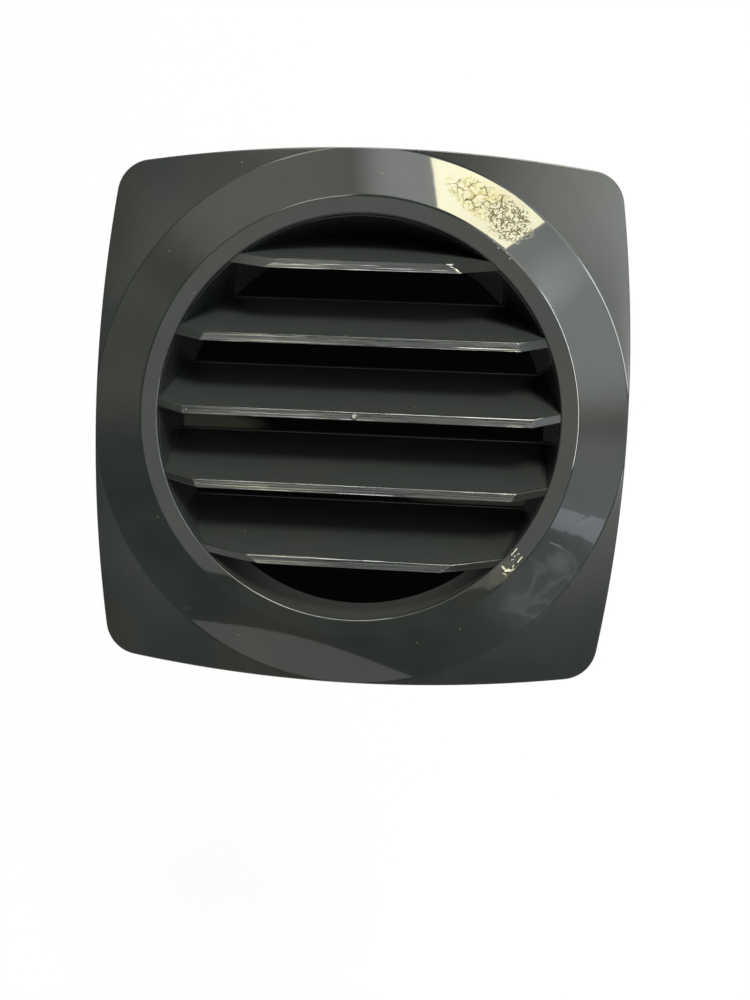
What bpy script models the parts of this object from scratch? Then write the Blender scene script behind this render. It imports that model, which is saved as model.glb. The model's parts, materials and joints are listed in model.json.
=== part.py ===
# Louvred ventilation grille, one injection moulding, in metres with +Z up.
# The front faces -Y. The origin is on the duct's axis, in the plane of the wall that the plate sits on.
import math

import bmesh
import bpy
from mathutils import Matrix, Vector

# Plate: a square with bowed sides and round corners
PLATE_WIDTH = 0.1004        # across the middles of two opposite sides
SIDE_BOW = 0.0047           # how far a side's middle stands out past its ends
CORNER_RADIUS = 0.0067
PLATE_WALL = 0.0018         # thickness of the face
SKIRT_WALL = 0.0016         # thickness of the edge that turns back to the wall
SKIRT_DEPTH = 0.0038        # from the wall to the flat face
SKIRT_DRAFT = 0.00005       # the edge is this much smaller at the face than at the wall
EDGE_ROUND = 0.0003

# Raised ring: a shallow cone from the plate's edge up to a flat lip round the opening
RING_RADIUS = 0.0501        # the cone's foot, which just meets the middles of the sides
RING_RISE = 0.0020          # the lip's height above the flat face
RING_FOOT_GAP = 0.00008     # where the cone runs out over a side, its foot stays this far inside the edge
LIP_WIDTH = 0.0033
RIM_ROUND = 0.0003          # rounding of the opening's front edge

# Collar that plugs into the duct
OPENING_RADIUS = 0.0374     # bore of the collar, at its front
COLLAR_WALL = 0.0013
COLLAR_DRAFT = 0.0002       # the collar is this much smaller in radius at its rear end
COLLAR_PAST_SLATS = 0.0006  # the collar runs on this far behind the slats

# Slats: sloping boards, low at the front, trimmed to a shallow dome
SLAT_COUNT = 5
SLAT_PITCH = 0.01353
SLAT_SLOPE = math.radians(32.5)
SLAT_THICKNESS = 0.0013
SLAT_DEPTH = 0.0163         # front to rear, level
SLAT_STAND = 0.0019         # how far the front faces stand out past the lip
SLAT_RAISE = 0.0004         # the row of slats sits this much above the duct's axis
SLAT_END_STEP = 0.0002      # the slats' ends meet the bore this far behind the lip
KNUCKLE_RADIUS = 0.0320     # circle on which the straight front faces turn back to the rim
SLAT_ROUND = 0.00025

# Gate mark: the small round nub that moulding leaves, on the middle slat's front face
NUB_RADIUS = 0.0006
NUB_TOP_RADIUS = 0.0005
NUB_HEIGHT = 0.00025
NUB_OFFSET = 0.0002         # to the left of the middle, seen from the front

# Steps of the round forms
SIDE_STEPS = 26
CORNER_STEPS = 8
TURN_STEPS = 96
NUB_STEPS = 12
ROUND_SEGMENTS = 2
SEAM_MERGE = 0.00001
FLAT_ANGLE = math.radians(0.5)      # faces closer than this in slope are one face
CREASE_ANGLE = math.radians(8)      # edges sharper than this are shaded as creases
BOARD_SPARE = 4 * SLAT_THICKNESS    # extra length of a slat's board before it is trimmed

COLOUR = (0.022, 0.026, 0.025, 1.0)

# Places worked out from the sizes above
half_width = PLATE_WIDTH / 2
face_y = -SKIRT_DEPTH
lip_y = face_y - RING_RISE
lip_radius = OPENING_RADIUS + LIP_WIDTH
slat_front_y = lip_y - SLAT_STAND
slat_rear_y = slat_front_y + SLAT_DEPTH
collar_end_y = slat_rear_y + COLLAR_PAST_SLATS


def new_collection(name):
    collection = bpy.data.collections.new(name)
    bpy.context.scene.collection.children.link(collection)
    return collection


def new_object(name, mesh_data, collection):
    obj = bpy.data.objects.new(name, mesh_data)
    collection.objects.link(obj)
    return obj


def mesh_from(bm, name):
    mesh = bpy.data.meshes.new(name)
    bm.to_mesh(mesh)
    bm.free()
    return mesh


# The plate's outline

def side_arc():
    """Radius of a bowed side, and how far its centre lies from the axis, on the far side."""
    radius = (half_width ** 2 + SIDE_BOW ** 2) / (2 * SIDE_BOW)
    return radius, radius - half_width


def corner_centre():
    """Distance of a corner arc's centre from either middle plane."""
    radius, back = side_arc()
    reach = radius - CORNER_RADIUS
    return (-back + math.sqrt(2 * reach ** 2 - back ** 2)) / 2


def outline_radius(angle, inset):
    """Distance from the axis to the plate's outline, drawn in by inset, in one direction."""
    off_side = (angle + math.pi / 4) % (math.pi / 2) - math.pi / 4
    radius, back = side_arc()
    centre = corner_centre()
    turn = math.atan2(centre, centre + back)
    tangent = Vector((centre, centre)) + (CORNER_RADIUS - inset) * Vector((math.cos(turn), math.sin(turn)))
    if abs(off_side) <= math.atan2(tangent.y, tangent.x):
        across = back * math.sin(off_side)
        return math.sqrt((radius - inset) ** 2 - across ** 2) - back * math.cos(off_side)
    off_corner = math.pi / 4 - abs(off_side)
    distance = centre * math.sqrt(2)
    across = distance * math.sin(off_corner)
    return math.sqrt((CORNER_RADIUS - inset) ** 2 - across ** 2) + distance * math.cos(off_corner)


def outline_angles():
    """Directions of the outline's points: even along each side, closer together round each corner."""
    centre = corner_centre()
    turn = math.atan2(centre, centre + side_arc()[1])
    corner = []
    for step in range(CORNER_STEPS + 1):
        arc_angle = turn + (math.pi / 2 - 2 * turn) * step / CORNER_STEPS
        corner.append(math.atan2(centre + CORNER_RADIUS * math.sin(arc_angle),
                                 centre + CORNER_RADIUS * math.cos(arc_angle)))
    side_end = corner[0]
    side = [-side_end + 2 * side_end * step / SIDE_STEPS for step in range(1, SIDE_STEPS)]
    return [quarter * math.pi / 2 + angle for quarter in range(4) for angle in side + corner]


# The shell: plate, raised ring, lip, rim and collar, lofted from round to square

def ring_height(radius):
    """Height of the raised ring's cone above the flat face."""
    return max(0.0, RING_RISE * (RING_RADIUS - radius) / (RING_RADIUS - lip_radius))


def circle(radius, y):
    return lambda angle: (radius, y)


def on_outline(inset, y):
    return lambda angle: (outline_radius(angle, inset), y)


def on_face(inset, drop):
    """A section on the front surface, inset from the outline and dropped behind the surface."""
    def place(angle):
        radius = outline_radius(angle, inset)
        return radius, face_y - ring_height(outline_radius(angle, SKIRT_DRAFT + EDGE_ROUND)) + drop
    return place


def ring_foot(inset, drop):
    """The cone's foot: a circle, kept inside the outline where the ring runs out over a side."""
    def place(angle):
        radius = min(RING_RADIUS, outline_radius(angle, inset + RING_FOOT_GAP))
        return radius, face_y - ring_height(radius) + drop
    return place


def shell_sections():
    """Sections from the bore's rear end, forward over the rim, out over the face and back behind it."""
    round_in = [1 - math.cos(math.pi / 4), 1 - math.sin(math.pi / 4)]
    edge = SKIRT_DRAFT + EDGE_ROUND
    skirt_inside = SKIRT_WALL + SKIRT_DRAFT
    bore_end = OPENING_RADIUS - COLLAR_DRAFT
    return [
        circle(bore_end, collar_end_y),
        circle(OPENING_RADIUS, lip_y + RIM_ROUND),
        circle(OPENING_RADIUS + RIM_ROUND * round_in[0], lip_y + RIM_ROUND * round_in[1]),
        circle(OPENING_RADIUS + RIM_ROUND, lip_y),
        circle(lip_radius, lip_y),
        ring_foot(edge, 0.0),
        on_face(edge, 0.0),
        on_face(SKIRT_DRAFT + EDGE_ROUND * round_in[0], EDGE_ROUND * round_in[1]),
        on_face(SKIRT_DRAFT, EDGE_ROUND),
        on_outline(0.0, 0.0),
        on_outline(SKIRT_WALL, 0.0),
        on_outline(skirt_inside, face_y + PLATE_WALL),
        ring_foot(skirt_inside, PLATE_WALL),
        circle(lip_radius, lip_y + PLATE_WALL),
        circle(OPENING_RADIUS + COLLAR_WALL, lip_y + PLATE_WALL),
        circle(bore_end + COLLAR_WALL, collar_end_y),
    ]


def build_shell(collection):
    bm = bmesh.new()
    loops = []
    for section in shell_sections():
        loop = []
        for angle in outline_angles():
            radius, y = section(angle)
            loop.append(bm.verts.new((radius * math.cos(angle), y, radius * math.sin(angle))))
        loops.append(loop)
    for first, second in zip(loops, loops[1:] + loops[:1]):
        for index in range(len(first)):
            after = (index + 1) % len(first)
            bm.faces.new((first[index], first[after], second[after], second[index]))
    bmesh.ops.recalc_face_normals(bm, faces=bm.faces)
    return new_object("grille", mesh_from(bm, "grille"), collection)


# The slats

def build_envelope(collection):
    """Turned solid that the slats fill: a shallow dome at the front, the collar's wall round it."""
    wall_front = OPENING_RADIUS + COLLAR_WALL / 2
    end_y = lip_y + SLAT_END_STEP
    fall = (end_y - slat_front_y) / (OPENING_RADIUS - KNUCKLE_RADIUS)
    profile = [
        (0.0, slat_front_y),
        (KNUCKLE_RADIUS, slat_front_y),
        (wall_front, end_y + fall * (wall_front - OPENING_RADIUS)),
        (wall_front - COLLAR_DRAFT, slat_rear_y),
        (0.0, slat_rear_y),
    ]
    mesh = bpy.data.meshes.new("slat_envelope")
    mesh.from_pydata([(radius, 0.0, -y) for radius, y in profile],
                     [(index, index + 1) for index in range(len(profile) - 1)], [])
    envelope = new_object("slat_envelope", mesh, collection)
    envelope.rotation_euler = (math.pi / 2, 0.0, 0.0)
    screw = envelope.modifiers.new("turn", "SCREW")
    screw.axis = "Z"
    screw.steps = TURN_STEPS
    screw.render_steps = TURN_STEPS
    screw.use_merge_vertices = True
    screw.merge_threshold = SEAM_MERGE
    return envelope


def apply_modifiers(obj):
    bpy.context.view_layer.update()
    evaluated = obj.evaluated_get(bpy.context.evaluated_depsgraph_get())
    mesh = bpy.data.meshes.new_from_object(evaluated)
    obj.modifiers.clear()
    obj.data = mesh


def round_front_edges(obj, board_normal):
    """Rounds the long edges where a slat's broad faces meet its front faces."""
    bm = bmesh.new()
    bm.from_mesh(obj.data)
    bmesh.ops.dissolve_limit(bm, angle_limit=FLAT_ANGLE, verts=bm.verts, edges=bm.edges)
    edges = []
    for edge in bm.edges:
        broad = [abs(face.normal.dot(board_normal)) > 0.99 for face in edge.link_faces]
        front = [face.normal.y < -0.3 for face in edge.link_faces]
        if broad != [True, True] and any(broad) and front[broad.index(False)]:
            edges.append(edge)
    bmesh.ops.bevel(bm, geom=edges, offset=SLAT_ROUND, segments=ROUND_SEGMENTS, profile=0.5,
                    affect="EDGES", clamp_overlap=True)
    bmesh.ops.remove_doubles(bm, verts=bm.verts, dist=SEAM_MERGE)
    bm.to_mesh(obj.data)
    bm.free()


def build_slat(number, envelope, collection):
    """A sloping board, cut to the envelope, with the edges of its front face rounded."""
    front_z = SLAT_RAISE + ((SLAT_COUNT - 1) / 2 - number) * SLAT_PITCH
    middle = Vector((0.0, (slat_front_y + slat_rear_y) / 2, front_z + math.tan(SLAT_SLOPE) * SLAT_DEPTH / 2))
    length = SLAT_DEPTH / math.cos(SLAT_SLOPE) + BOARD_SPARE
    board = Matrix.Translation(middle) @ Matrix.Rotation(SLAT_SLOPE, 4, "X")
    bm = bmesh.new()
    bmesh.ops.create_cube(bm, size=1.0, matrix=board @ Matrix.Diagonal(
        (2 * (OPENING_RADIUS + COLLAR_WALL), length, SLAT_THICKNESS, 1.0)))
    slat = new_object(f"slat_{number + 1}", mesh_from(bm, f"slat_{number + 1}"), collection)
    cut = slat.modifiers.new("trim", "BOOLEAN")
    cut.operation = "INTERSECT"
    cut.solver = "EXACT"
    cut.object = envelope
    apply_modifiers(slat)
    round_front_edges(slat, board.to_3x3() @ Vector((0.0, 0.0, 1.0)))
    return slat


def build_nub(collection):
    bm = bmesh.new()
    reach = NUB_HEIGHT + SLAT_THICKNESS / 2
    place = Matrix.Translation((-NUB_OFFSET, slat_front_y - NUB_HEIGHT + reach / 2,
                                SLAT_RAISE + (SLAT_COUNT // 2 - (SLAT_COUNT - 1) / 2) * SLAT_PITCH))
    bmesh.ops.create_cone(bm, cap_ends=True, segments=NUB_STEPS, radius1=NUB_RADIUS, radius2=NUB_TOP_RADIUS,
                          depth=reach, matrix=place @ Matrix.Rotation(math.pi / 2, 4, "X"))
    return new_object("gate_nub", mesh_from(bm, "gate_nub"), collection)


def join_to(body, pieces):
    for piece in pieces:
        union = body.modifiers.new("join_" + piece.name, "BOOLEAN")
        union.operation = "UNION"
        union.solver = "EXACT"
        union.object = piece
        piece.hide_render = True
        piece.display_type = "WIRE"
    weld = body.modifiers.new("close_seams", "WELD")
    weld.merge_threshold = SEAM_MERGE


def plastic_material():
    material = bpy.data.materials.new("anthracite_plastic")
    material.use_nodes = True
    shader = material.node_tree.nodes["Principled BSDF"]
    shader.inputs["Base Color"].default_value = COLOUR
    shader.inputs["Roughness"].default_value = 0.25
    shader.inputs["Metallic"].default_value = 0.0
    material.diffuse_color = COLOUR
    return material


def main():
    for obj in list(bpy.data.objects):
        bpy.data.objects.remove(obj, do_unlink=True)
    parts = new_collection("ventilation_grille")
    cutters = new_collection("cutters")
    grille = build_shell(parts)
    envelope = build_envelope(cutters)
    envelope.hide_render = True
    envelope.display_type = "WIRE"
    slats = [build_slat(number, envelope, cutters) for number in range(SLAT_COUNT)]
    join_to(grille, slats + [build_nub(cutters)])
    grille.data.materials.append(plastic_material())
    grille.data.shade_smooth()
    grille.data.set_sharp_from_angle(angle=CREASE_ANGLE)


main()
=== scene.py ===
import json
import math

import bmesh
import bpy
from mathutils import Matrix, Quaternion, Vector

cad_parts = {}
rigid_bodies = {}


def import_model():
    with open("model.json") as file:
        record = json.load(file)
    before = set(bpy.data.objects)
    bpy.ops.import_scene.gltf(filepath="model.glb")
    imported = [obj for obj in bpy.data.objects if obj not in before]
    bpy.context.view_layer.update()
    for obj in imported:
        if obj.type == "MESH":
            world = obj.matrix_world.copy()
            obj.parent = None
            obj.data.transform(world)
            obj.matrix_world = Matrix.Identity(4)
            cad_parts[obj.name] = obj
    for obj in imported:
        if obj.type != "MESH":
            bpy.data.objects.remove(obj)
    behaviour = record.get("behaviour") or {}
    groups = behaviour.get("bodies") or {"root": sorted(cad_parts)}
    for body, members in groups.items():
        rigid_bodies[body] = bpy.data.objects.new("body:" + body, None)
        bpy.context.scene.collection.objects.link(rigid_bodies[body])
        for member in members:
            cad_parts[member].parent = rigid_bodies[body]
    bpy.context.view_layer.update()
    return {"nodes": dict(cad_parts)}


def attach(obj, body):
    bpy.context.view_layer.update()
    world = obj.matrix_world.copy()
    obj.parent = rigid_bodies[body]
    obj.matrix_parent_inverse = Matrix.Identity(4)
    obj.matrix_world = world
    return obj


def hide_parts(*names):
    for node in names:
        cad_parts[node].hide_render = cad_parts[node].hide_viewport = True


bpy.ops.object.select_all(action="SELECT")     # clears the start-up scene
bpy.ops.object.delete()
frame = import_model()
print("frame loaded:", ", ".join(sorted(frame["nodes"])))


# helpers: one active piece at a time, and picking its parts in code

def pickOnly(obj):
    bpy.ops.object.select_all(action="DESELECT")
    bpy.context.view_layer.objects.active = obj
    obj.select_set(True)


def startPiece(name):
    obj = bpy.context.object          # the primitive that was just added
    obj.name = obj.data.name = name
    pickOnly(obj)
    bpy.ops.object.transform_apply(location=True, rotation=True, scale=True)
    return obj


def editOn(obj):
    pickOnly(obj)
    bpy.ops.object.mode_set(mode="EDIT")


def editOff():
    bpy.ops.object.mode_set(mode="OBJECT")


def selectParts(kind, test):
    bpy.ops.mesh.select_mode(type=kind)
    bpy.ops.mesh.select_all(action="DESELECT")
    mesh = bpy.context.object.data
    bm = bmesh.from_edit_mesh(mesh)
    parts = {"VERT": bm.verts, "EDGE": bm.edges, "FACE": bm.faces}[kind]
    for part in parts:
        if test(part):
            part.select_set(True)
    bmesh.update_edit_mesh(mesh)


def applyAll(obj):
    pickOnly(obj)
    for modifier in list(obj.modifiers):
        bpy.ops.object.modifier_apply(modifier=modifier.name)


def joinTo(obj, others):
    pickOnly(obj)
    for other in others:
        other.select_set(True)
    bpy.ops.object.join()
    return obj


def cutWith(obj, tool, operation):
    boolean = obj.modifiers.new(operation.lower(), "BOOLEAN")
    boolean.operation = operation
    boolean.solver = "EXACT"
    boolean.object = tool
    applyAll(obj)


def fromAxis(point):
    return math.hypot(point.x, point.z)


def near(value, target, slack=0.00002):
    return abs(value - target) < slack


# plate: a square with bowed sides, its edge turned back to the wall

plate = {
    "halfWidth": 0.0502,      # to the middle of a side
    "sideBow": 0.0047,        # how far that middle stands out past the side's ends
    "cornerRadius": 0.0067,
    "sideSteps": 40,
    "cornerSteps": 12,
    "skirtDepth": 0.0038,     # wall to flat face
    "skirtWall": 0.0016,
    "faceWall": 0.0018,
    "draft": 0.00005,
    "edgeRound": 0.0003,
    "edgeSteps": 6,
    "backGap": 0.0005,        # the hollow behind the ring ends this far inside the skirt
    "backStep": 0.0003,
    "seamReach": 0.0018,      # the plate's own loops lie within this of its sides
    "weld": 0.000002,         # points closer than this are one
}
ring = {
    "outerRadius": 0.0501,    # crease on the flat face
    "lipRadius": 0.0407,      # crease at the lip
    "rise": 0.0020,
    "creaseBlend": 0.00028,   # half width of the soft turn at each crease
    "creaseSteps": 4,
    "footGap": 0.00004,       # the outer crease stays this far inside the plate's rounded edge
}
collar = {
    "bore": 0.0374,
    "wall": 0.0013,
    "draft": 0.0002,
    "endY": 0.0092,
    "rimRound": 0.00035,
    "rimSteps": 7,
    "stepDepth": 0.0009,      # where the two halves of the mould met, behind the rim
    "stepHeight": 0.00008,
}
faceY = -plate["skirtDepth"]
lipY = faceY - ring["rise"]
ringSlope = ring["rise"] / (ring["outerRadius"] - ring["lipRadius"])
sideRadius = (plate["halfWidth"] ** 2 + plate["sideBow"] ** 2) / (2 * plate["sideBow"])
sideBack = sideRadius - plate["halfWidth"]
cornerReach = sideRadius - plate["cornerRadius"]
cornerPlace = (-sideBack + math.sqrt(2 * cornerReach ** 2 - sideBack ** 2)) / 2
sideTurn = math.atan2(cornerPlace, cornerPlace + sideBack)
loopCount = 4 * (plate["sideSteps"] + plate["cornerSteps"])


def sideDistance(point, inset):       # how far a bowed side is from the axis, in a point's direction
    angle = (math.atan2(point.z, point.x) + math.pi / 4) % (math.pi / 2) - math.pi / 4
    across = sideBack * math.sin(angle)
    return math.sqrt((sideRadius - inset) ** 2 - across ** 2) - sideBack * math.cos(angle)


def coneRise(radius):                 # how far the ring stands out of the flat face
    blend = ring["creaseBlend"]
    out = ring["outerRadius"] + blend - radius
    if out <= 0:
        return 0.0
    if out < 2 * blend:
        return ringSlope * out * out / (4 * blend)
    return ringSlope * (ring["outerRadius"] - radius)


def spinOutline():                    # the outline, drawn as eight arcs from one point
    begin = Vector((cornerPlace, 0, -cornerPlace)) + plate["cornerRadius"] * Vector(
        (math.cos(sideTurn), 0, -math.sin(sideTurn)))
    bpy.ops.mesh.primitive_plane_add(size=0.001, location=begin)
    shell = startPiece("moulding")
    editOn(shell)
    bpy.ops.mesh.merge(type="CENTER")
    for quarter in range(4):
        side = quarter * math.pi / 2
        corner = side + math.pi / 4
        bpy.ops.mesh.spin(steps=plate["sideSteps"], angle=2 * sideTurn, axis=(0, 1, 0),
                          center=(-sideBack * math.cos(side), 0, -sideBack * math.sin(side)))
        reach = cornerPlace * math.sqrt(2)
        bpy.ops.mesh.spin(steps=plate["cornerSteps"], angle=math.pi / 2 - 2 * sideTurn, axis=(0, 1, 0),
                          center=(reach * math.cos(corner), 0, reach * math.sin(corner)))
    bpy.ops.mesh.select_all(action="SELECT")
    bpy.ops.mesh.remove_doubles(threshold=plate["weld"])
    bpy.ops.mesh.edge_face_add()
    return shell


def isFlat(y, facing):
    return lambda face: near(face.calc_center_median().y, y) and facing * face.normal.y > 0.99


def addCircle(radius, y):
    bpy.ops.mesh.primitive_circle_add(vertices=loopCount, radius=radius, location=(0, y, 0),
                                      rotation=(math.pi / 2, 0, 0))


def stepLoop(old, new):               # draws the selected loop on to the next radius and depth
    bpy.ops.mesh.extrude_edges_move(TRANSFORM_OT_translate={"value": (0, new[1] - old[1], 0)})
    scale = new[0] / old[0]
    bpy.ops.transform.resize(value=(scale, 1, scale), center_override=(0, 0, 0))


def buildPlate(shell):
    bpy.ops.mesh.extrude_region_move(TRANSFORM_OT_translate={"value": (0, faceY, 0)})
    scale = 1 - plate["draft"] / plate["halfWidth"]
    bpy.ops.transform.resize(value=(scale, 1, scale), center_override=(0, 0, 0))
    bpy.ops.mesh.select_all(action="SELECT")
    bpy.ops.mesh.normals_make_consistent(inside=False)
    selectParts("EDGE", lambda edge: all(near(vert.co.y, faceY) for vert in edge.verts))
    bpy.ops.mesh.bevel(offset=plate["edgeRound"], segments=plate["edgeSteps"], affect="EDGES")
    selectParts("FACE", isFlat(0.0, 1))
    bpy.ops.mesh.inset(thickness=plate["skirtWall"])
    bpy.ops.mesh.extrude_region_move(TRANSFORM_OT_translate={"value": (0, faceY + plate["faceWall"], 0)})


def turnSections():                   # the round loops from the outer crease, over the lip and rim, and back behind
    blend, steps = ring["creaseBlend"], ring["creaseSteps"]
    outer, inner = ring["outerRadius"], ring["lipRadius"]
    front = [(outer + blend - 2 * blend * step / steps, faceY - ringSlope * blend * (step / steps) ** 2)
             for step in range(steps + 1)]
    front += [(inner + blend - 2 * blend * step / steps, lipY + ringSlope * blend * (1 - step / steps) ** 2)
              for step in range(steps + 1)]
    bore, rim = collar["bore"], collar["rimRound"]
    for step in range(collar["rimSteps"] + 1):
        turn = math.pi / 2 * step / collar["rimSteps"]
        front.append((bore + rim * (1 - math.sin(turn)), lipY + rim * (1 - math.cos(turn))))
    deep, high = collar["stepDepth"], collar["stepHeight"]
    back = [(bore, lipY + deep), (bore - high, lipY + deep + high), (bore - collar["draft"], collar["endY"]),
            (bore - collar["draft"] + collar["wall"], collar["endY"]),
            (bore + collar["wall"], lipY + plate["faceWall"]), (inner, lipY + plate["faceWall"]),
            (plate["halfWidth"] - plate["skirtWall"] - plate["backGap"], faceY + plate["faceWall"] - plate["backStep"])]
    return front + back


def buildRing():
    sections = turnSections()
    for isPart in (isFlat(faceY, -1), isFlat(faceY + plate["faceWall"], 1)):
        selectParts("FACE", lambda face: isPart(face) and len(face.verts) == loopCount)
        bpy.ops.mesh.delete(type="ONLY_FACE")
    bpy.ops.mesh.select_mode(type="EDGE")
    bpy.ops.mesh.select_all(action="DESELECT")
    addCircle(*sections[0])
    for old, new in zip(sections, sections[1:]):
        stepLoop(old, new)
    for radius, y, level in ((sections[0] + (faceY,)), (sections[-1] + (faceY + plate["faceWall"],))):
        def isSeam(edge):
            spots = [vert.co for vert in edge.verts]
            onCircle = all(near(fromAxis(spot), radius) and near(spot.y, y) for spot in spots)
            return len(edge.link_faces) == 1 and (onCircle or all(
                near(spot.y, level, 0.000005) and fromAxis(spot) > plate["halfWidth"] - plate["seamReach"]
                for spot in spots))
        selectParts("EDGE", isSeam)
        bpy.ops.mesh.bridge_edge_loops()


def settleCrease(shell):              # at the middle of each side the cone runs out over the rounded edge
    limits = plate["edgeRound"] + plate["draft"]
    foot = {round(radius, 6): step for step, (radius, y) in enumerate(turnSections()[:ring["creaseSteps"] + 1])}
    for vert in shell.data.vertices:
        spot = vert.co
        reach = fromAxis(spot)
        step = foot.get(round(reach, 6))
        onRound = faceY - 0.00001 < spot.y < faceY + plate["edgeRound"] - 0.00001
        if step is not None and spot.y < faceY + 0.00001:
            room = sideDistance(spot, limits) - ring["footGap"] * (1 + step)
            if room < reach:
                spot.x, spot.z = spot.x * room / reach, spot.z * room / reach
                spot.y = faceY - coneRise(room)
        elif onRound and reach > sideDistance(spot, limits) - 0.00001:
            share = 1 - (spot.y - faceY) / plate["edgeRound"]
            spot.y -= coneRise(sideDistance(spot, limits)) * share


moulding = spinOutline()
buildPlate(moulding)
buildRing()
bpy.ops.mesh.select_all(action="SELECT")
bpy.ops.mesh.remove_doubles(threshold=plate["weld"])
bpy.ops.mesh.normals_make_consistent(inside=False)
editOff()
settleCrease(moulding)
print("plate, ring and collar made:", len(moulding.data.polygons), "faces")


# louvre: five sloping slats, low at the front, trimmed to a shallow dome

louvre = {
    "count": 5,
    "pitch": 0.01353,
    "slope": 32.5,            # degrees
    "thickness": 0.0013,
    "depth": 0.0163,
    "stand": 0.0019,          # front faces stand out past the lip
    "raise": 0.0004,
    "endStep": 0.0002,        # the ends meet the bore this far behind the lip
    "knuckle": 0.0320,        # radius at which the front faces turn back to the rim
    "round": 0.00038,
    "roundSteps": 8,
    "ridgeDepth": 0.0005,     # a fine step along the rear of each upper face
    "ridgeHeight": 0.00013,
    "sinkBorder": 0.00014,    # the front faces sank a little inside this border
    "sinkDepth": 0.00005,
    "turnSteps": 192,
    "weld": 0.00001,
}
slatFrontY = lipY - louvre["stand"]
slatRearY = slatFrontY + louvre["depth"]
slatSlope = math.radians(louvre["slope"])
slatFall = (lipY + louvre["endStep"] - slatFrontY) / (collar["bore"] - louvre["knuckle"])


def buildEnvelope():                  # turned block that the slats fill
    wallMiddle = collar["bore"] + collar["wall"] / 2
    endY = lipY + louvre["endStep"]
    shoulderY = endY + slatFall * (wallMiddle - collar["bore"])
    bpy.ops.mesh.primitive_cylinder_add(vertices=louvre["turnSteps"], radius=wallMiddle, depth=slatRearY - shoulderY,
                                        location=(0, (slatRearY + shoulderY) / 2, 0), rotation=(math.pi / 2, 0, 0))
    envelope = startPiece("slatEnvelope")
    editOn(envelope)
    selectParts("FACE", isFlat(shoulderY, -1))
    bpy.ops.mesh.extrude_region_move(TRANSFORM_OT_translate={"value": (0, slatFrontY - shoulderY, 0)})
    scale = louvre["knuckle"] / wallMiddle
    bpy.ops.transform.resize(value=(scale, 1, scale), center_override=(0, 0, 0))
    selectParts("FACE", isFlat(slatRearY, 1))
    scale = (wallMiddle - collar["draft"]) / wallMiddle
    bpy.ops.transform.resize(value=(scale, 1, scale), center_override=(0, 0, 0))
    editOff()
    return envelope


def buildBoard():                     # one plain board at the axis, copied for each slat
    middle = (0, (slatFrontY + slatRearY) / 2, math.tan(slatSlope) * louvre["depth"] / 2)
    size = (2 * (collar["bore"] + collar["wall"]), louvre["depth"] / math.cos(slatSlope) + 4 * louvre["thickness"],
            louvre["thickness"])
    bpy.ops.mesh.primitive_cube_add(size=1, location=middle, rotation=(slatSlope, 0, 0), scale=size)
    return startPiece("slatBoard")


def trimSlat(board, envelope, number):
    height = louvre["raise"] + ((louvre["count"] - 1) / 2 - number) * louvre["pitch"]
    slat = board.copy()
    slat.data = board.data.copy()
    slat.name = "slat_" + str(number + 1)
    bpy.context.collection.objects.link(slat)
    slat.location.z = height
    pickOnly(slat)
    bpy.ops.object.transform_apply(location=True)
    cutWith(slat, envelope, "INTERSECT")
    broadNormal = Vector((0, -math.sin(slatSlope), math.cos(slatSlope)))

    def isFrontEdge(edge):
        if len(edge.link_faces) != 2:
            return False
        broad = [abs(face.normal.dot(broadNormal)) > 0.99 for face in edge.link_faces]
        front = [face.normal.y < -0.3 for face in edge.link_faces]
        return broad.count(True) == 1 and front[broad.index(False)]

    def isRidge(face):
        return face.normal.dot(broadNormal) > 0.99 and face.calc_center_median().y > slatRearY - louvre["ridgeDepth"]

    editOn(slat)
    bpy.ops.mesh.select_all(action="SELECT")
    bpy.ops.mesh.dissolve_limited(angle_limit=math.radians(0.5))
    selectParts("EDGE", isFrontEdge)
    bpy.ops.mesh.bevel(offset=louvre["round"], segments=louvre["roundSteps"], affect="EDGES", clamp_overlap=True)
    bpy.ops.mesh.select_all(action="SELECT")
    bpy.ops.mesh.remove_doubles(threshold=louvre["weld"])
    selectParts("FACE", lambda face: isFlat(slatFrontY, -1)(face) and face.calc_area() > 0.00001)
    bpy.ops.mesh.inset(thickness=louvre["sinkBorder"], depth=-louvre["sinkDepth"])
    bpy.ops.mesh.select_all(action="SELECT")
    bpy.ops.mesh.bisect(plane_co=(0, slatRearY - louvre["ridgeDepth"], 0), plane_no=(0, 1, 0))
    selectParts("FACE", isRidge)
    bpy.ops.mesh.extrude_region_move(TRANSFORM_OT_translate={"value": (0, 0, louvre["ridgeHeight"])})
    editOff()
    return slat


def buildLouvre():
    envelope, board = buildEnvelope(), buildBoard()
    slats = [trimSlat(board, envelope, number) for number in range(louvre["count"])]
    for helper in (envelope, board):
        bpy.data.objects.remove(helper)
    return joinTo(slats[0], slats[1:])


slats = buildLouvre()
print("louvre made:", len(slats.data.polygons), "faces")


# gate mark: the small round nub that moulding leaves on the middle slat

gate = {"radius": 0.00055, "height": 0.00025, "root": 0.00022, "left": 0.00021, "round": 0.0001, "roundSteps": 5}


def buildGate():
    reach = gate["height"] + gate["root"]
    bpy.ops.mesh.primitive_cylinder_add(
        vertices=24, radius=gate["radius"], depth=reach, rotation=(math.pi / 2, 0, 0),
        location=(-gate["left"], slatFrontY - gate["height"] + reach / 2, louvre["raise"]))
    nub = startPiece("gateMark")
    editOn(nub)
    selectParts("EDGE", lambda edge: all(near(vert.co.y, slatFrontY - gate["height"]) for vert in edge.verts))
    bpy.ops.mesh.bevel(offset=gate["round"], segments=gate["roundSteps"], affect="EDGES")
    editOff()
    return nub


# nicks: small raised burrs that the tool left on the lip and the ring, as place, length, height, turn and tilt

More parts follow.
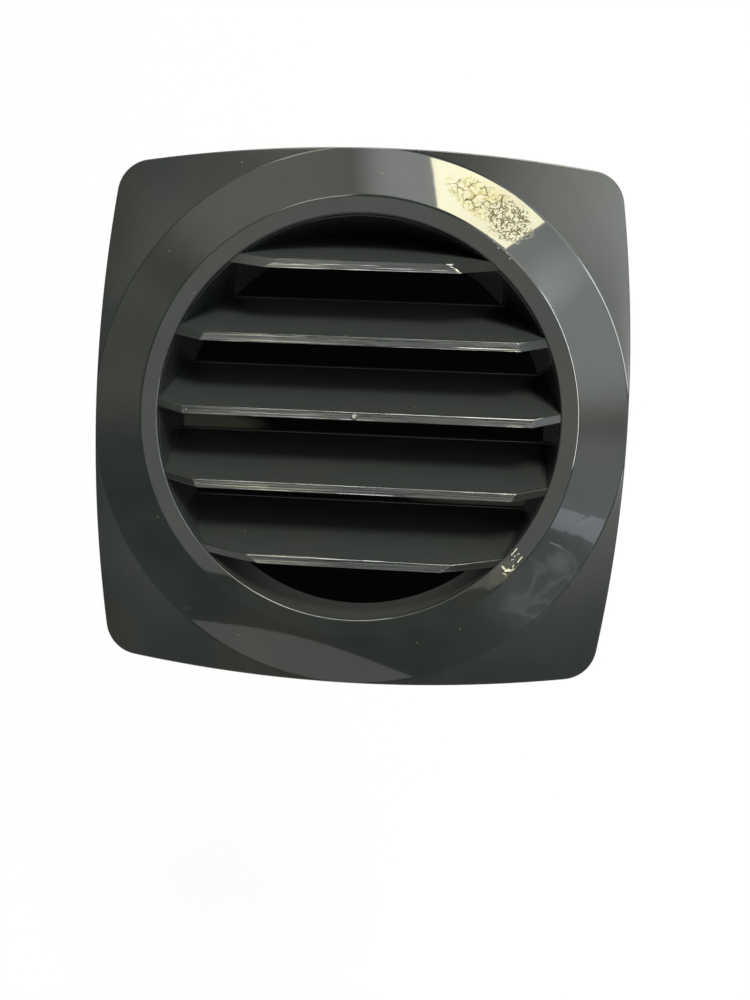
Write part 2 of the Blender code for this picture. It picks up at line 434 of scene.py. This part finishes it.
nicks = {
    "sink": 0.0004,           # how deep each one is rooted in the face
    "least": 0.00005,         # and the least that it stands out
    "round": 0.00003,
    "weld": 0.000005,         # for the whole moulding, once they are joined to it
    "marks": [
        {"at": (0.03075, -0.02245), "size": (0.0034, 0.00022), "turn": 50, "tilt": 26, "yaw": 4},
        {"at": (0.03175, -0.02395), "size": (0.0028, 0.00024), "turn": 51, "tilt": 26, "yaw": 4},
        {"at": (0.03050, -0.02375), "size": (0.0007, 0.00016), "turn": 62, "tilt": 25, "yaw": 3},
        {"at": (0.03120, -0.02330), "size": (0.0009, 0.00016), "turn": 40, "tilt": 27, "yaw": 5},
        {"at": (0.03110, -0.02480), "size": (0.0011, 0.00018), "turn": 48, "tilt": 26, "yaw": 4},
        {"at": (0.03010, -0.02450), "size": (0.0006, 0.00015), "turn": 20, "tilt": 26, "yaw": 2},
        {"at": (0.03035, -0.02555), "size": (0.0010, 0.00022), "turn": 57, "tilt": 25, "yaw": 4},
        {"at": (0.02845, -0.02600), "size": (0.0010, 0.00050), "turn": -58, "tilt": 24, "yaw": 4},
        {"at": (0.02935, -0.02650), "size": (0.0014, 0.00060), "turn": 6, "tilt": 26, "yaw": 4},
        {"at": (0.02875, -0.02715), "size": (0.0007, 0.00034), "turn": -30, "tilt": 27, "yaw": 5},
        {"at": (0.03030, -0.02625), "size": (0.0008, 0.00030), "turn": 38, "tilt": 25, "yaw": 4},
        {"at": (-0.03166, -0.03714), "size": (0.00016, 0.00095), "turn": 6, "tilt": 10, "yaw": 9},
        {"at": (-0.03105, -0.03709), "size": (0.00016, 0.00090), "turn": 0, "tilt": 10, "yaw": 9},
        {"at": (-0.03044, -0.03703), "size": (0.00016, 0.00090), "turn": 0, "tilt": 10, "yaw": 9},
    ],
    "chips": {"angles": (48.5, 50.0, 51.1, 52.6, 54.4, 56.9), "radius": 0.04055, "stray": 0.00035,
              "size": (0.00034, 0.00017), "tilt": 13, "yaw": 5},
}
for number, chipAngle in enumerate(nicks["chips"]["angles"]):      # along the inner crease, below the crackle
    reach = nicks["chips"]["radius"] + nicks["chips"]["stray"] * (number % 3 - 1)
    turn = math.radians(chipAngle)
    nicks["marks"].append({"at": (reach * math.cos(turn), reach * math.sin(turn)), "size": nicks["chips"]["size"],
                           "turn": -40 - 9 * (number % 2), "tilt": nicks["chips"]["tilt"],
                           "yaw": nicks["chips"]["yaw"]})


def surfaceY(radius):                 # depth of the lip, cone or flat face at a distance from the axis
    return faceY - min(coneRise(radius), ring["rise"])


def buildNick(mark):
    (placeX, placeZ), (length, height) = mark["at"], mark["size"]
    tilt = math.radians(mark["tilt"])
    proud = max(math.sin(tilt) * height / 2, nicks["least"])
    middle = Vector((placeX, surfaceY(math.hypot(placeX, placeZ)) - proud, placeZ))
    turned = Matrix.Rotation(math.radians(mark["yaw"]), 3, "Z") @ Matrix.Rotation(-tilt, 3, "X") @ Matrix.Rotation(
        -math.radians(mark["turn"]), 3, "Y")
    root = middle + turned @ Vector((0, nicks["sink"] / 2, 0))
    bpy.ops.mesh.primitive_cube_add(size=1, location=root, rotation=turned.to_euler(),
                                    scale=(length, nicks["sink"], height))
    nick = startPiece("nick")
    editOn(nick)
    bpy.ops.mesh.select_all(action="SELECT")
    bpy.ops.mesh.bevel(offset=nicks["round"], segments=2, affect="EDGES")
    editOff()
    return nick


burrs = [buildNick(mark) for mark in nicks["marks"]]
for piece in [slats, buildGate()] + burrs:
    cutWith(moulding, piece, "UNION")
    bpy.data.objects.remove(piece)
editOn(moulding)
bpy.ops.mesh.select_all(action="SELECT")
bpy.ops.mesh.remove_doubles(threshold=nicks["weld"])
editOff()
pickOnly(moulding)
bpy.ops.object.shade_smooth_by_angle(angle=math.radians(21))
weighted = moulding.modifiers.new("weighted", "WEIGHTED_NORMAL")
weighted.keep_sharp = True
weighted.weight = 80
applyAll(moulding)
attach(moulding, "root")
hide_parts("grille")
print("moulding joined:", len(moulding.data.polygons), "faces")


# node helpers

def addNode(tree, kind, sockets=None, **settings):
    item = tree.nodes.new("ShaderNode" + kind)
    for name, value in settings.items():
        setattr(item, name, value)
    for name, value in (sockets or {}).items():
        if isinstance(value, bpy.types.NodeSocket):
            tree.links.new(value, item.inputs[name])
        else:
            item.inputs[name].default_value = value
    return item


def calc(tree, operation, *values, clamp=False):
    return addNode(tree, "Math", dict(enumerate(values)), operation=operation, use_clamp=clamp).outputs[0]


def noise(tree, place, scale, detail=0.0, distortion=0.0):
    return addNode(tree, "TexNoise", {"Vector": place, "Scale": scale, "Detail": detail,
                                      "Distortion": distortion}).outputs["Fac"]


def softStep(tree, value, low, high, lowTo=0.0, highTo=1.0):
    return addNode(tree, "MapRange", {"Value": value, "From Min": low, "From Max": high, "To Min": lowTo,
                                      "To Max": highTo}, interpolation_type="SMOOTHSTEP").outputs["Result"]


def mixColour(tree, factor, first, second):
    item = addNode(tree, "Mix", {0: factor}, data_type="RGBA")
    for socket, value in ((item.inputs[6], first), (item.inputs[7], second)):
        if isinstance(value, bpy.types.NodeSocket):
            tree.links.new(value, socket)
        else:
            socket.default_value = value
    return item.outputs[2]


# finish: colours, roughness, heights of the bump, and patches on the front where they differ, each by its place on
# the ring and its half width along the radius and round the ring

finish = {
    "dark": (0.0190, 0.0222, 0.0215, 1),
    "light": (0.0245, 0.0280, 0.0268, 1),
    "warm": (0.0270, 0.0250, 0.0212, 1),
    "innerColour": (0.0248, 0.0280, 0.0277, 1),
    # the film and strokes lie where the key's highlight falls: their colours and specular tints paint ochre blotches
    # and brown strokes into that reflection, while their bump and roughness are the surface's own
    "filmColour": (0.060, 0.047, 0.025, 1),
    "filmPaintedReflectionTint": (1.0, 0.92, 0.56, 1),
    "strokeColour": (0.052, 0.040, 0.020, 1),
    "strokePaintedReflectionTint": (0.85, 0.68, 0.34, 1),
    # painted reflection: a lighter bluish tone for the spot and the swirl lines at the lower right of the ring
    "paintedReflectionTone": (0.070, 0.078, 0.085, 1),
    # painted highlight: a lighter warm colour for the lip round the nicks
    "paintedGlowColour": (0.070, 0.067, 0.056, 1),
    "dust": (0.32, 0.32, 0.29, 1),
    "scar": (0.30, 0.31, 0.30, 1),
    # painted highlight: pale streaks on the slats' fronts stand in for a streaky reflection of the window
    "paintedSheen": (0.20, 0.195, 0.165, 1),
    "paintedSheenLeft": 0.016,        # middle of the painted highlight streaks on the slats' fronts
    "paintedSheenHalf": (0.016, 0.004),
    "roughness": 0.024,
    "haze": 0.02,             # how much rougher the handled areas are
    "inner": 0.30,            # roughness of the slats' broad faces
    "bore": 0.12,
    "satin": 0.16,            # added outside the ring, where the mould wasn't polished
    "peelHeight": 0.0000012,  # slow unevenness of the polished skin
    "grainHeight": 0.00000012,
    "crackleHeight": 0.000007,
    "flowHeight": 0.000010,
    "waveHeight": 0.00003,
    "brushHeight": 0.00013,   # long fine lines on the slats' front faces
    "brushScale": 2900.0,
    "speckHeight": 0.00003,
    "speckScale": 380.0,
    "speckPick": (0.22, 0.16),
    "speckSize": (0.060, 0.040),
    "skinDepth": (0.0006, 0.0003),     # patches end this far behind the front, so none shows on the back
    "crackleScale": 1800.0,   # cells of the crackle, the looser loops beside it and the dried film between them, the film's and strokes' tints being painted reflection
    "crackleLine": (0.17, 0.08),
    "crackleTurn": 18,
    "crackleStretch": 0.75,
    "loopScale": 600.0,
    "loopLine": (0.065, 0.030),
    "filmScale": 1600.0,
    "swirlScale": 80.0,
    "swirlWidth": 0.055,
    "crackle": {"radius": 0.0455, "angle": 55.0, "half": (0.0044, 0.0055)},
    "film": {"radius": 0.0460, "angle": 61.5, "half": (0.0042, 0.0098)},
    # the flow's waves and swirls are bumps, and a share of the swirls is painted as reflection; the spot after it is a
    # painted reflection
    "flow": {"radius": 0.0462, "angle": -37.0, "half": (0.0056, 0.0170)},
    "paintedReflectionSpot": {"radius": 0.0462, "angle": -32.2, "half": (0.0036, 0.0036)},
    "roughPaintedGlow": {"radius": 0.0392, "angle": -43.5, "half": (0.0019, 0.0048)},
}


def patchMask(tree, place, patch, skin, soft=0.45):
    angle = math.radians(patch["angle"])
    middle = (patch["radius"] * math.cos(angle), lipY, patch["radius"] * math.sin(angle))
    local = addNode(tree, "Mapping", {"Vector": place, "Location": middle, "Rotation": (0, -angle, 0),
                                      "Scale": (patch["half"][0], 0.01, patch["half"][1])}, vector_type="TEXTURE")
    length = addNode(tree, "VectorMath", {0: local.outputs["Vector"]}, operation="LENGTH").outputs["Value"]
    ragged = calc(tree, "MULTIPLY_ADD", noise(tree, place, 700.0, 2.0), 0.5, length)
    return calc(tree, "MULTIPLY", softStep(tree, ragged, 1.25, 1.25 - soft, 0.0, 1.0), skin)


def threadLines(tree, value, width):  # thin lines where a noise passes its middle
    away = calc(tree, "ABSOLUTE", calc(tree, "SUBTRACT", value, 0.5))
    return softStep(tree, away, width, 0.0)


def makePlastic():
    material = bpy.data.materials.new("anthracitePlastic")
    material.use_nodes = True
    tree = material.node_tree
    shader = tree.nodes["Principled BSDF"]
    place = addNode(tree, "TexCoord").outputs["Object"]
    across, depth = addNode(tree, "SeparateXYZ", {0: place}).outputs[:2]
    outward = addNode(tree, "VectorMath", {0: place, 1: (1, 0, 1)}, operation="MULTIPLY").outputs["Vector"]
    outward = addNode(tree, "VectorMath", {0: outward}, operation="LENGTH").outputs["Value"]
    rise = calc(tree, "MULTIPLY_ADD", outward, -ringSlope, ringSlope * ring["outerRadius"])
    rise = calc(tree, "MINIMUM", calc(tree, "MAXIMUM", rise, 0.0), ring["rise"])
    gone, full = finish["skinDepth"]
    skin = softStep(tree, calc(tree, "ADD", depth, rise), faceY + gone, faceY + full)

    crackleMask = patchMask(tree, place, finish["crackle"], skin)
    filmMask = patchMask(tree, place, finish["film"], skin)
    flowMask = patchMask(tree, place, finish["flow"], skin)
    paintedReflectionSpot = calc(tree, "MULTIPLY", patchMask(tree, place, finish["paintedReflectionSpot"], skin, 0.9), 0.65)
    roughPaintedGlow = patchMask(tree, place, finish["roughPaintedGlow"], skin)
    along = addNode(tree, "Mapping", {"Vector": place, "Rotation": (0, math.radians(finish["crackleTurn"]), 0),
                                      "Scale": (finish["crackleStretch"], 1, 1)})
    cells = addNode(tree, "TexVoronoi", {"Vector": along.outputs["Vector"], "Scale": finish["crackleScale"]},
                    feature="DISTANCE_TO_EDGE").outputs["Distance"]
    crackle = softStep(tree, cells, *finish["crackleLine"])
    gaps = softStep(tree, noise(tree, place, 1900.0, 1.0), 0.46, 0.52)
    crackle = calc(tree, "MULTIPLY", crackle, calc(tree, "MULTIPLY", gaps, crackleMask))
    loops = addNode(tree, "TexVoronoi", {"Vector": place, "Scale": finish["loopScale"]}, feature="DISTANCE_TO_EDGE")
    loops = softStep(tree, loops.outputs["Distance"], *finish["loopLine"])
    loops = calc(tree, "MULTIPLY", loops, calc(tree, "MULTIPLY", filmMask, softStep(
        tree, noise(tree, place, 700.0, 1.0), 0.46, 0.54)))
    film = calc(tree, "MULTIPLY", calc(tree, "SUBTRACT", filmMask, crackleMask, clamp=True),
                softStep(tree, noise(tree, place, finish["filmScale"], 5.0), 0.40, 0.58))
    strokes = calc(tree, "MAXIMUM", crackle, loops)
    swirlAndPaintedReflection = threadLines(tree, noise(tree, place, finish["swirlScale"], 0.8, 1.5), finish["swirlWidth"])
    swirlAndPaintedReflection = calc(tree, "MULTIPLY", swirlAndPaintedReflection, flowMask)

    speckCells = addNode(tree, "TexVoronoi", {"Vector": place, "Scale": finish["speckScale"]})
    speckPick = softStep(tree, addNode(tree, "SeparateColor", {"Color": speckCells.outputs["Color"]}).outputs[0],
                         *finish["speckPick"])
    specks = softStep(tree, speckCells.outputs["Distance"], *finish["speckSize"])
    specks = calc(tree, "MULTIPLY", specks, speckPick)

    inBore = softStep(tree, outward, collar["bore"] + 0.0001, collar["bore"])
    turnedBack = calc(tree, "MAXIMUM", calc(tree, "SUBTRACT", outward, louvre["knuckle"]), 0.0)
    front = softStep(tree, calc(tree, "MULTIPLY_ADD", turnedBack, -slatFall, depth),
                     slatFrontY + louvre["round"] * 1.3, slatFrontY + louvre["round"] * 0.7)
    inner = calc(tree, "MULTIPLY", inBore, calc(tree, "SUBTRACT", 1.0, front))
    front = calc(tree, "MULTIPLY", inBore, front)
    scar = addNode(tree, "VectorMath", {0: place, 1: (-gate["left"], slatFrontY - gate["height"], louvre["raise"])},
                   operation="DISTANCE").outputs["Value"]
    scar = softStep(tree, calc(tree, "MULTIPLY_ADD", noise(tree, place, 2600.0, 2.0), 0.0003, scar),
                    gate["radius"] + 0.0001, gate["radius"] - 0.00015)

    mottle = softStep(tree, noise(tree, place, 85.0, 3.0), 0.35, 0.68)
    warmth = softStep(tree, noise(tree, place, 34.0, 2.0), 0.46, 0.72)
    colour = mixColour(tree, mottle, finish["dark"], finish["light"])
    colour = mixColour(tree, calc(tree, "MULTIPLY", warmth, 0.6), colour, finish["warm"])
    colour = mixColour(tree, calc(tree, "MULTIPLY", film, 0.6), colour, finish["filmColour"])
    colour = mixColour(tree, strokes, colour, finish["strokeColour"])
    # painted reflection: a light bluish spot and swirl lines on the lower right of the ring
    colour = mixColour(tree, calc(tree, "MAXIMUM", paintedReflectionSpot, calc(tree, "MULTIPLY", swirlAndPaintedReflection, 0.4)), colour,
                       finish["paintedReflectionTone"])
    # painted highlight: a lighter warm glow on the lip round the nicks, with more roughness there as well
    colour = mixColour(tree, calc(tree, "MULTIPLY", roughPaintedGlow, 0.6), colour, finish["paintedGlowColour"])
    lengthwise = addNode(tree, "Mapping", {"Vector": place, "Scale": (0.013, 1, 1)}).outputs["Vector"]
    lines = softStep(tree, noise(tree, lengthwise, 2600.0, 2.0), 0.3, 0.7, 0.72, 1.0)
    colour = mixColour(tree, calc(tree, "MULTIPLY", inner, lines), colour, finish["innerColour"])
    brushed = calc(tree, "MULTIPLY", front, softStep(tree, turnedBack, 0.0004, 0.0))
    brushLines = noise(tree, lengthwise, finish["brushScale"], 2.0)
    # painted highlight: pale lengthwise streaks on the slats' fronts, left of the middle, in place of a streaky
    # reflection
    paintedSheenAway = calc(tree, "ABSOLUTE", calc(tree, "ADD", across, finish["paintedSheenLeft"]))
    paintedSheen = calc(tree, "MULTIPLY", brushed, softStep(tree, paintedSheenAway, *finish["paintedSheenHalf"]))
    paintedSheen = calc(tree, "MULTIPLY", softStep(tree, brushLines, 0.50, 0.68), paintedSheen)
    colour = mixColour(tree, paintedSheen, colour, finish["paintedSheen"])
    colour = mixColour(tree, calc(tree, "MULTIPLY", specks, 0.55), colour, finish["dust"])
    colour = mixColour(tree, scar, colour, finish["scar"])
    tree.links.new(colour, shader.inputs["Base Color"])

    haze = softStep(tree, noise(tree, place, 55.0, 4.0), 0.42, 0.70, 0.0, finish["haze"])
    rough = calc(tree, "ADD", haze, finish["roughness"])
    satin = softStep(tree, outward, ring["outerRadius"], ring["outerRadius"] + 0.0003, 0.0, finish["satin"])
    rough = calc(tree, "ADD", rough, satin)
    broad = softStep(tree, outward, collar["bore"] - 0.0003, collar["bore"] - 0.0005, finish["bore"], finish["inner"])
    rough = calc(tree, "MAXIMUM", rough, calc(tree, "MULTIPLY", inner, broad))
    rough = calc(tree, "MULTIPLY_ADD", film, 0.22, rough)
    rough = calc(tree, "MULTIPLY_ADD", roughPaintedGlow, 0.14, rough)
    rough = calc(tree, "MULTIPLY_ADD", strokes, 0.45, rough)
    rough = calc(tree, "MULTIPLY_ADD", scar, 0.3, rough)
    rough = calc(tree, "MULTIPLY_ADD", specks, 0.5, rough, clamp=True)
    tree.links.new(rough, shader.inputs["Roughness"])

    height = calc(tree, "MULTIPLY", noise(tree, place, 330.0, 1.0), finish["peelHeight"])
    brush = calc(tree, "MULTIPLY", calc(tree, "SUBTRACT", brushLines, 0.5), brushed)
    wave = calc(tree, "MULTIPLY", calc(tree, "SUBTRACT", noise(tree, place, 230.0), 0.5), flowMask)
    for value, size in ((noise(tree, place, 3200.0, 2.0), finish["grainHeight"]),
                        (crackle, -finish["crackleHeight"]), (loops, -finish["crackleHeight"] * 0.6),
                        (swirlAndPaintedReflection, finish["flowHeight"]), (wave, finish["waveHeight"]), (brush, finish["brushHeight"]),
                        (specks, finish["speckHeight"])):
        height = calc(tree, "MULTIPLY_ADD", value, size, height)
    bump = addNode(tree, "Bump", {"Height": height, "Strength": 1.0, "Distance": 1.0})
    tree.links.new(bump.outputs["Normal"], shader.inputs["Normal"])
    # painted reflection: the specular tint turns the key's highlight ochre over the film and brown along the strokes
    tint = mixColour(tree, film, (1, 1, 1, 1), finish["filmPaintedReflectionTint"])
    tint = mixColour(tree, strokes, tint, finish["strokePaintedReflectionTint"])
    tree.links.new(tint, shader.inputs["Specular Tint"])
    tree.links.new(calc(tree, "MULTIPLY_ADD", brushed, 0.5, 0.5), shader.inputs["Specular IOR Level"])
    shader.inputs["Metallic"].default_value = 0.0
    shader.inputs["IOR"].default_value = 1.5
    return material


moulding.data.materials.clear()
moulding.data.materials.append(makePlastic())
print("plastic made")


# stage: a pale sweep well behind and below, and a glowing card behind the slats that paints the duct's shade

stage = {
    "floorZ": -0.30,
    "wallY": 0.25,
    "halfWidth": 1.2,
    "height": 1.6,
    "frontLeft": -0.560,      # the floor's front edge runs a little aslant
    "frontRight": -0.062,
    "curve": 0.12,
    "curveSteps": 12,
    "white": 0.955,           # share of plain white in what the camera and reflections see
    "ductRadius": 0.0382,
    "ductY": 0.00925,
    # painted shade: the near-black colour the camera sees between the slats
    "ductPaintedShade": (0.0012, 0.0012, 0.0014, 1),
    "paintedGlimpseColour": (0.0205, 0.0195, 0.0150, 1),
    "paintedGlimpses": (((-0.032, 0.0, -0.0010), (0.013, 1, 0.0024)),     # painted glimpses of a lit background between the slats: middle, half size
                 ((0.025, 0.0, -0.0139), (0.018, 1, 0.0022))),
    "bounceZ": (-0.024, -0.036),      # painted bounce light: the card glows more from its lower part, to every ray but the camera's
    "bounceColours": ((0.022, 0.021, 0.020, 1), (0.105, 0.101, 0.092, 1)),
}


def lightPathMax(tree, *names):
    path = addNode(tree, "LightPath").outputs
    value = path[names[0]]
    for name in names[1:]:
        value = calc(tree, "MAXIMUM", value, path[name])
    return value


def makePaleStage():                  # white to the camera and in reflections, with a little of its own shading
    material = bpy.data.materials.new("paleStage")
    material.use_nodes = True
    tree = material.node_tree
    shader = tree.nodes["Principled BSDF"]
    shader.inputs["Base Color"].default_value = (0.86, 0.86, 0.86, 1)
    shader.inputs["Roughness"].default_value = 0.9
    shader.inputs["Specular IOR Level"].default_value = 0.0
    white = addNode(tree, "Emission", {"Color": (1, 1, 1, 1), "Strength": 1.0})
    seen = lightPathMax(tree, "Is Camera Ray", "Is Glossy Ray", "Is Transmission Ray")
    seen = calc(tree, "MULTIPLY", seen, stage["white"])
    mixed = addNode(tree, "MixShader", {0: seen, 1: shader.outputs[0], 2: white.outputs[0]})
    tree.links.new(mixed.outputs[0], tree.nodes["Material Output"].inputs["Surface"])
    return material


def buildSweep():
    depth = stage["wallY"] - min(stage["frontLeft"], stage["frontRight"])
    bpy.ops.mesh.primitive_plane_add(size=1)
    sweep = startPiece("paleSweep")
    editOn(sweep)
    bpy.ops.mesh.select_all(action="SELECT")
    bpy.ops.transform.resize(value=(2 * stage["halfWidth"], depth, 1), center_override=(0, 0, 0))
    bpy.ops.transform.translate(value=(0, stage["wallY"] - depth / 2, stage["floorZ"]))
    selectParts("EDGE", lambda edge: all(near(vert.co.y, stage["wallY"]) for vert in edge.verts))
    bpy.ops.mesh.extrude_edges_move(TRANSFORM_OT_translate={"value": (0, 0, stage["height"])})
    selectParts("EDGE", lambda edge: all(near(vert.co.y, stage["wallY"]) and near(vert.co.z, stage["floorZ"])
                                         for vert in edge.verts))
    bpy.ops.mesh.bevel(offset=stage["curve"], segments=stage["curveSteps"], affect="EDGES")
    selectParts("VERT", lambda vert: vert.co.y < stage["wallY"] - stage["curve"] - 0.01 and vert.co.x > 0)
    bpy.ops.transform.translate(value=(0, stage["frontRight"] - stage["frontLeft"], 0))
    editOff()
    bpy.ops.object.shade_smooth()
    sweep.data.materials.append(makePaleStage())


# painted shade: an emissive card, near black with painted glimpses to the camera, and a painted glow of bounced light
# to other rays
def makeDuctDark():                   # dark from the front only; open to everything that comes from behind
    material = bpy.data.materials.new("ductDark")
    material.use_nodes = True
    tree = material.node_tree
    tree.nodes.remove(tree.nodes["Principled BSDF"])
    place = addNode(tree, "TexCoord").outputs["Object"]
    colour = stage["ductPaintedShade"]
    for middle, half in stage["paintedGlimpses"]:
        local = addNode(tree, "Mapping", {"Vector": place, "Location": middle, "Scale": half}, vector_type="TEXTURE")
        length = addNode(tree, "VectorMath", {0: local.outputs["Vector"]}, operation="LENGTH").outputs["Value"]
        colour = mixColour(tree, softStep(tree, length, 1.1, 0.5), colour, stage["paintedGlimpseColour"])
    low = softStep(tree, addNode(tree, "SeparateXYZ", {0: place}).outputs["Z"], *stage["bounceZ"])
    bounced = mixColour(tree, low, *stage["bounceColours"])
    colour = mixColour(tree, lightPathMax(tree, "Is Camera Ray"), bounced, colour)
    dark = addNode(tree, "Emission", {"Color": colour, "Strength": 1.0})
    path = addNode(tree, "LightPath").outputs
    behind = addNode(tree, "NewGeometry").outputs["Backfacing"]
    through = calc(tree, "MAXIMUM", behind, calc(tree, "GREATER_THAN", path["Transparent Depth"], 0.5))
    mixed = addNode(tree, "MixShader", {0: through, 1: dark.outputs[0],
                                        2: addNode(tree, "BsdfTransparent").outputs[0]})
    tree.links.new(mixed.outputs[0], tree.nodes["Material Output"].inputs["Surface"])
    return material


def buildDuctDark():
    bpy.ops.mesh.primitive_circle_add(vertices=96, radius=stage["ductRadius"], fill_type="NGON",
                                      location=(0, stage["ductY"], 0), rotation=(math.pi / 2, 0, 0))
    card = startPiece("ductDark")
    card.data.materials.append(makeDuctDark())


buildSweep()
buildDuctDark()
print("stage made")


# studio: soft panels round the object, by direction from it (degrees right of the front, degrees up)

panels = {
    "distance": 1.2,
    "key": {"at": (20.5, 44.1), "size": (0.265, 0.383), "radiance": 18.3, "colour": (1.0, 0.955, 0.63),
            "roll": 19.5},
    "sun": {"at": (20.1, 43.0), "size": (0.297, 0.346), "radiance": 34.0, "colour": (1.0, 0.99, 0.93),
            "roll": 20, "gloss": False},
    "overhead": {"at": (5, 61), "size": (0.75, 0.42), "radiance": 15.0, "colour": (0.98, 1.0, 0.97), "fill": False},
    "window": {"at": (-12.5, 33), "size": (0.19, 0.20), "radiance": 5.0, "colour": (1.0, 0.98, 0.86), "fill": False},
    "front": {"at": (0, 6.0), "size": (1.04, 0.73), "radiance": 1.15, "colour": (0.98, 1.0, 0.96), "fill": False},
    "strip": {"at": (24.5, 11), "size": (0.10, 0.53), "radiance": 19.0, "colour": (0.96, 1.0, 0.98), "fill": False},
    "side": {"at": (84, 18), "size": (0.4, 0.8), "radiance": 4.0, "colour": (0.96, 0.98, 1.0)},
    "low": {"at": (38.5, -12.9), "size": (0.22, 0.08), "radiance": 1.9, "colour": (0.80, 0.85, 1.0)},
}
sky = {                               # direction, full inside and gone outside (degrees), radiance, colour
    "level": 0.045,
    "share": 0.12,            # how much of the patches in front lights the plastic, besides being reflected
    "top": {"at": (10, 48), "edge": (5, 14), "radiance": 4.0, "colour": (0.97, 1.0, 0.96)},
    "topLeft": {"at": (-28, 43), "edge": (8, 22), "radiance": 1.3, "colour": (0.98, 1.0, 0.93)},
    "right": {"at": (38, 19), "edge": (3, 17), "radiance": 3.3, "colour": (0.92, 1.0, 0.98)},
    "highFlat": {"at": (14, 23), "edge": (3, 9), "radiance": 3.2, "colour": (0.98, 1.0, 0.95)},
    "upperRight": {"at": (24, 30), "edge": (4, 12), "radiance": 3.1, "colour": (0.94, 1.0, 0.98)},
    "farRight": {"at": (54, 4), "edge": (6, 14), "radiance": 2.2, "colour": (0.88, 0.92, 1.0)},
    "left": {"at": (-49, 14), "edge": (5, 17), "radiance": 0.5, "colour": (1.0, 1.0, 0.9)},
    "haze": {"at": (38, -5), "edge": (3, 12), "radiance": 1.7, "colour": (0.86, 0.94, 1.0)},
    "lowRight": {"at": (31, -21), "edge": (3, 14), "radiance": 0.7, "colour": (0.86, 0.96, 1.0)},
    "back": {"at": (180, 35), "edge": (30, 100), "radiance": 1.0, "colour": (1.0, 1.0, 1.0)},
}


def direction(at):
    turn, rise = math.radians(at[0]), math.radians(at[1])
    return Vector((math.sin(turn) * math.cos(rise), -math.cos(turn) * math.cos(rise), math.sin(rise)))


def addPanel(name, panel):
    light = bpy.data.lights.new(name, "AREA")
    light.shape = "RECTANGLE"
    light.size, light.size_y = panel["size"]
    light.energy = panel["radiance"] * math.pi * light.size * light.size_y
    light.color = panel["colour"]
    lamp = bpy.data.objects.new(name, light)
    bpy.context.collection.objects.link(lamp)
    toward = direction(panel["at"])
    lamp.location = toward * panels["distance"]
    turned = (-toward).to_track_quat("-Z", "Y") @ Quaternion((0, 0, 1), math.radians(panel.get("roll", 0)))
    lamp.rotation_euler = turned.to_euler()
    lamp.visible_camera = False
    lamp.visible_diffuse = panel.get("fill", True)
    lamp.visible_glossy = panel.get("gloss", True)


def makeSky():
    world = bpy.data.worlds.new("studioSky")
    bpy.context.scene.world = world
    world.use_nodes = True
    tree = world.node_tree
    toward = addNode(tree, "VectorMath", {0: addNode(tree, "TexCoord").outputs["Generated"]},
                     operation="NORMALIZE").outputs["Vector"]
    path = addNode(tree, "LightPath").outputs
    share = calc(tree, "MULTIPLY_ADD", path["Is Diffuse Ray"], sky["share"] - 1, 1.0)
    light = addNode(tree, "CombineColor", {0: sky["level"], 1: sky["level"], 2: sky["level"]}).outputs["Color"]
    for name, patch in sky.items():
        if name in ("level", "share"):
            continue
        along = addNode(tree, "VectorMath", {0: toward, 1: direction(patch["at"])}, operation="DOT_PRODUCT")
        full, gone = (math.cos(math.radians(edge)) for edge in patch["edge"])
        amount = softStep(tree, along.outputs["Value"], gone, full, 0.0, patch["radiance"])
        if name != "back":
            amount = calc(tree, "MULTIPLY", amount, share)
        tinted = addNode(tree, "VectorMath", {0: patch["colour"], "Scale": amount}, operation="SCALE")
        light = addNode(tree, "VectorMath", {0: light, 1: tinted.outputs["Vector"]}).outputs["Vector"]
    seen = lightPathMax(tree, "Is Camera Ray", "Is Transmission Ray")
    tree.links.new(mixColour(tree, seen, light, (1, 1, 1, 1)), tree.nodes["Background"].inputs["Color"])


for name, panel in panels.items():
    if name != "distance":
        addPanel(name, panel)
makeSky()
print("studio lit")


# camera at the photograph's place

view = {
    "place": (0.010221, -0.134172, -0.008083),
    "turn": (87.048, -2.625, 2.822),
    "lens": 24.948,
    "nearest": 0.001,
}
bpy.ops.object.camera_add(location=view["place"], rotation=[math.radians(angle) for angle in view["turn"]])
camera = bpy.context.object
camera.name = "camera"
camera.data.lens = view["lens"]
camera.data.clip_start = view["nearest"]
bpy.context.scene.camera = camera
bpy.context.scene.view_settings.view_transform = "Standard"
print("camera set")
